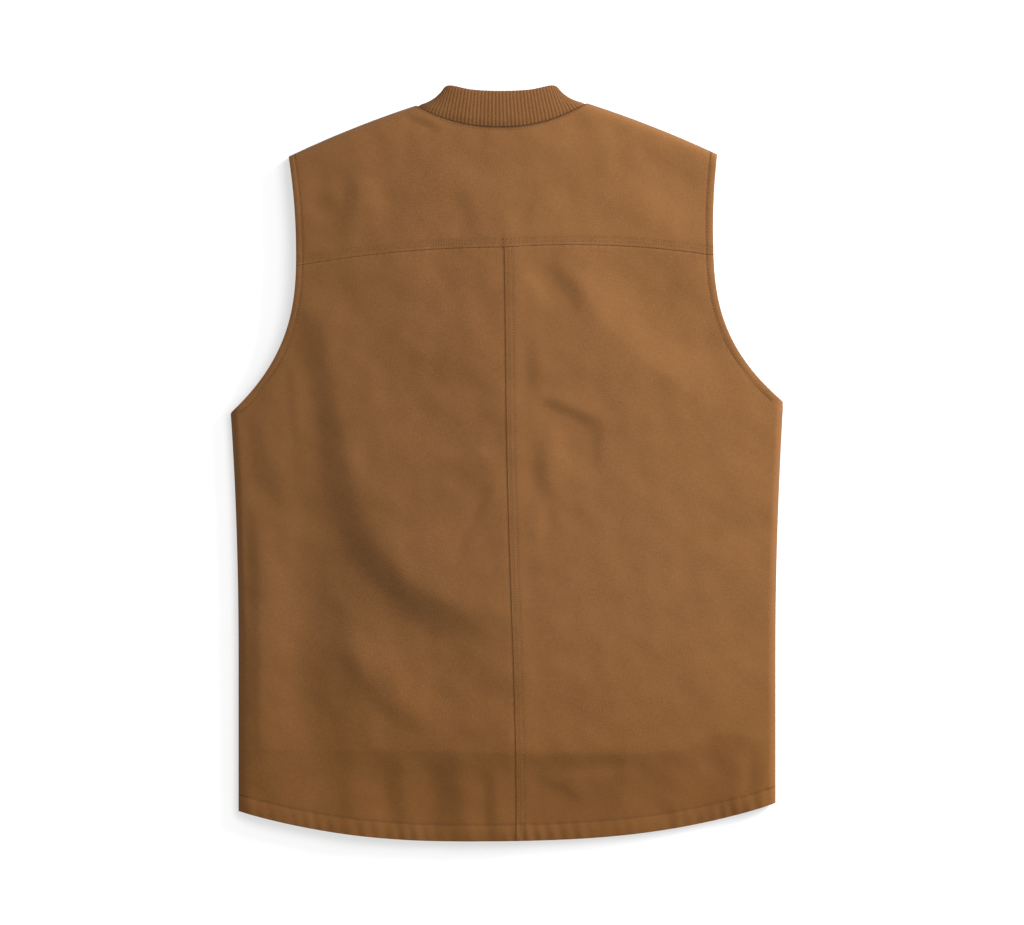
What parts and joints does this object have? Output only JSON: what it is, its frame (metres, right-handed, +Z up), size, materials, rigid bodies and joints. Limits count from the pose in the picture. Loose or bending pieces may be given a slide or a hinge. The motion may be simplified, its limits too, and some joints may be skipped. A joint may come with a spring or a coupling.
{
  "type": "canvas work vest",
  "caption": "Sleeveless canvas work vest with a back yoke, lapped back seams, a rib-knit collar and a zipped front, lying flat on its front with an open neck, armholes and hem.",
  "frame": {"origin": "on the surface that the vest lies on, under the middle of its outline", "axes": "+X to the wearer's right, +Y from the hem to the collar, +Z up from the surface, out of the back"},
  "size_m": [0.5807, 0.793, 0.0438],
  "materials": {
    "canvas": "brown cotton duck canvas, matt, washed",
    "rib_knit": "brown one-by-one rib knit, matt",
    "zip": "aged brass teeth on brown tape"
  },
  "bodies": {
    "root": {"back_yoke": "canvas", "back_panel_left": "canvas", "back_panel_right": "canvas", "front_panel_left": "canvas", "front_panel_right": "canvas", "rib_collar": "rib_knit", "front_zip": "zip"}
  },
  "joints": []
}
